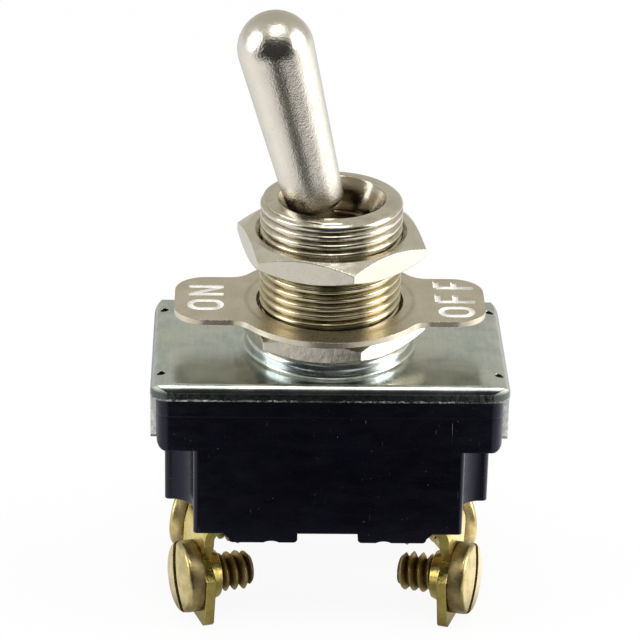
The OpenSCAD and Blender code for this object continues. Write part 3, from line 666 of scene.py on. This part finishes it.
def letter_n(x0, x1, y0, y1):
    return [([(x1, y0), (x0, y0)], False), ([(x0, y0), (x1, y1)], False), ([(x1, y1), (x0, y1)], False)]


def letter_f(x0, x1, y0, y1):
    mid = x0 + 0.47 * (x1 - x0)
    return [([(x1, y0), (x0, y0)], False), ([(x0, y0), (x0, y1)], False),
            ([(mid, y0), (mid, y1 - 0.25)], False)]


def build_plate():
    me = NODES["on_off_plate"].data.copy()
    me.name = "plate_stamped"
    bm = bmesh.new()
    bm.from_mesh(me)
    bmesh.ops.remove_doubles(bm, verts=bm.verts, dist=1e-6)
    bmesh.ops.dissolve_limit(bm, angle_limit=0.01, verts=bm.verts, edges=bm.edges)
    bm.to_mesh(me)
    bm.free()
    me.materials.clear()
    me.materials.append(NICKEL_PLATE)
    obj = link("plate_stamped", me)
    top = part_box("on_off_plate")[1].z
    strokes = letter_o(-11.75, -9.15, -2.03, -0.45) + letter_n(-11.9, -8.95, 0.80, 2.32)
    strokes += letter_o(9.3, 11.9, -3.08, -1.52)
    strokes += letter_f(9.12, 12.3, -0.34, 1.15) + letter_f(9.1, 12.3, 2.42, 3.75)
    for pts, closed in strokes:
        cut(obj, stroke(pts, closed, top))
    # the grooves get the painted highlight: faces just under the top, where the words are
    obj.data.materials.append(LETTER_PAINTED_HIGHLIGHT)
    for p in obj.data.polygons:
        at = p.center
        in_word = abs(at.x) > 8.2 * MM and math.hypot(at.x, at.y) < 12.9 * MM
        if in_word and 0.005 * MM < top - at.z < 0.2 * MM and abs(p.normal.z) > 0.05:
            p.material_index = 1
    smooth(obj, 30)
    stand_for(obj, "on_off_plate")


build_bushing()
for node, turn in SLOT_TURNS.items():
    build_screw(node, turn)
build_plate()


# ---- floor, light and camera -----------------------------------------------

def azimuth_ramp(s, x, y, stops):
    """Brightness by the direction seen from the object, in degrees from the front
    (-Y), positive towards +X. stops are (degrees, brightness), from -180 up."""
    angle = s.math("ARCTAN2", x, s.mul(y, -1.0))
    n = s.node("ShaderNodeValToRGB", _0=s.ramp_linear(angle, -math.pi, math.pi))
    el = n.color_ramp.elements
    el.remove(el[1])
    el[0].position = 0.0
    scale = 2.0  # a colour ramp holds 0 to 1, and the floor is brighter than that
    for i, (deg, v) in enumerate(stops):
        e = el.new((deg + 180) / 360) if i else el[0]
        e.color = (v / scale, v / scale, v / scale, 1)
    return s.mul(n.outputs[0], scale)


def floor_material():
    """White to the camera. In reflections it is dark in front of the object, where
    the room isn't lit, and bright at both sides."""
    s = new_shader("white_floor")
    path = s.node("ShaderNodeLightPath").outputs
    x, y, _ = s.xyz()
    ahead = s.mul(y, -1.0)
    reach = s.radius(x, y)
    angle = s.abs(s.math("ARCTAN2", x, ahead))
    by_side = azimuth_ramp(s, x, y, [(-180, 0.62), (-140, 0.85), (-84, 1.15), (-45, 0.92), (0, 0.75),
                                     (48, 0.95), (80, 1.75), (108, 1.75), (140, 0.95), (180, 0.62)])
    # a dark wedge ahead of the object, widening with distance
    middle = s.sub(7 * MM, s.mul(ahead, 0.12))
    half_width = s.add(s.mul(ahead, 0.18), 14 * MM)
    wedge = s.math("DIVIDE", s.abs(s.sub(x, middle)), half_width)
    # it is lit where it starts and about half way along
    start = s.max(s.ramp(ahead, 6 * MM, 10 * MM, 1.0, 0.0), s.ramp(ahead, 19 * MM, 26 * MM, 0.42, 0.0))
    half_way = s.mul(s.ramp(ahead, 56 * MM, 66 * MM, 0.0, 0.40), s.ramp(ahead, 72 * MM, 98 * MM, 1.0, 0.0))
    wedge = s.max(s.ramp(wedge, 0.80, 1.12), s.max(start, half_way))
    # the table ends in the dark, further off towards the sides
    table_end = s.ramp(s.sub(reach, s.mul(angle, 50 * MM)), 120 * MM, 150 * MM, 1.0, 0.0)
    beside = s.ramp(angle, math.radians(52), math.radians(68))
    by_side = s.mul(by_side, s.mul(wedge, s.max(table_end, beside)))
    # little light gets under the object
    clear = s.max(s.ramp(s.abs(x), 12 * MM, 17 * MM), s.ramp(s.abs(y), 7 * MM, 12 * MM))
    by_side = s.mul(by_side, s.ramp(clear, 0.0, 1.0, 0.35, 1.0))
    by_side = s.add(by_side, 0.03)
    lit = s.node("ShaderNodeBsdfDiffuse", Color=(0.82, 0.82, 0.82, 1)).outputs[0]
    white = s.node("ShaderNodeEmission", Color=(1, 1, 1, 1), Strength=1.0).outputs[0]
    seen = s.node("ShaderNodeMixShader", _0=s.mul(path["Is Camera Ray"], 0.92), _1=lit, _2=white)
    mirrored = s.node("ShaderNodeEmission", Color=(1, 0.995, 0.98, 1), Strength=by_side)
    glossy = s.max(path["Is Glossy Ray"], path["Is Transmission Ray"])
    return s.finish(s.node("ShaderNodeMixShader", _0=glossy, _1=seen.outputs[0],
                           _2=mirrored.outputs[0]).outputs[0])


def build_floor():
    z, far = cad_box[0][2], 3.0
    me = bpy.data.meshes.new("floor")
    me.from_pydata([(-far, -far, z), (far, -far, z), (far, far, z), (-far, far, z)], [], [(0, 1, 2, 3)])
    me.materials.append(floor_material())
    obj = link("floor", me)


def softbox(name, at, size, radiance):
    lamp = bpy.data.lights.new(name, "AREA")
    lamp.shape = "RECTANGLE"
    lamp.size, lamp.size_y = size
    lamp.energy = radiance * math.pi * size[0] * size[1]
    obj = link(name, lamp)
    target = Vector((0, 0, 5 * MM))
    obj.location = at
    obj.rotation_euler = (target - Vector(at)).to_track_quat("-Z", "Y").to_euler()
    obj.visible_camera = False


def studio_world():
    """White to the camera, an even fill for diffuse light, and in reflections a
    bright tent with a dark opening in front of the object."""
    world = bpy.data.worlds.new("studio")
    bpy.context.scene.world = world
    s = Shader(world, "ShaderNodeOutputWorld", "Generated")
    path = s.node("ShaderNodeLightPath").outputs
    x, y, z = s.xyz()
    angle = s.abs(s.math("ARCTAN2", x, s.mul(y, -1.0)))
    beside = s.ramp(angle, math.radians(46), math.radians(66))
    above = s.ramp(z, math.sin(math.radians(43)), math.sin(math.radians(53)))
    behind = s.ramp(angle, math.radians(110), math.radians(150))
    opening, cloth, fill, white = 0.045, 0.72, 0.78, 1.0
    tent = s.ramp(s.max(beside, above), 0.0, 1.0, opening, cloth)
    tent = s.mul(tent, s.ramp(behind, 0.0, 1.0, 1.0, 0.92))
    strength = s.ramp(path["Is Glossy Ray"], 0.0, 1.0, fill, tent)
    strength = s.ramp(path["Is Camera Ray"], 0.0, 1.0, strength, white)
    warm = s.mul(path["Is Glossy Ray"], s.max(behind, above))
    tint = s.mix(warm, (1.0, 0.995, 0.98), (0.90, 0.88, 0.77))
    s.finish(s.node("ShaderNodeBackground", Color=tint, Strength=strength).outputs[0])


# the photograph's camera, solved from the nuts, the frame's corners and the base
EYE = Vector((-0.007954, -0.241672, 0.117745))
AIM = Vector((-0.0007834, 0.0000232, 0.0020404))
FIELD_OF_VIEW = math.radians(11.5208)
ROLL = math.radians(1.207)


def build_camera():
    data = bpy.data.cameras.new("camera")
    data.sensor_fit = "HORIZONTAL"
    data.angle = FIELD_OF_VIEW
    data.clip_start, data.clip_end = 0.01, 20.0
    cam = link("camera", data)
    forward = (AIM - EYE).normalized()
    right = forward.cross(Vector((0, 0, 1))).normalized()
    up = right.cross(forward)
    right, up = (right * math.cos(ROLL) + up * math.sin(ROLL),
                 up * math.cos(ROLL) - right * math.sin(ROLL))
    cam.matrix_world = Matrix.Translation(EYE) @ Matrix((right, up, -forward)).transposed().to_4x4()
    bpy.context.scene.camera = cam


build_floor()
softbox("softbox_left", (-0.34, -0.06, 0.16), (0.22, 0.26), 2.6)
softbox("softbox_right", (0.32, -0.03, 0.15), (0.20, 0.24), 4.2)
softbox("softbox_top", (0.02, -0.10, 0.42), (0.20, 0.16), 4.0)
studio_world()
build_camera()
bpy.context.scene.view_settings.view_transform = "Standard"
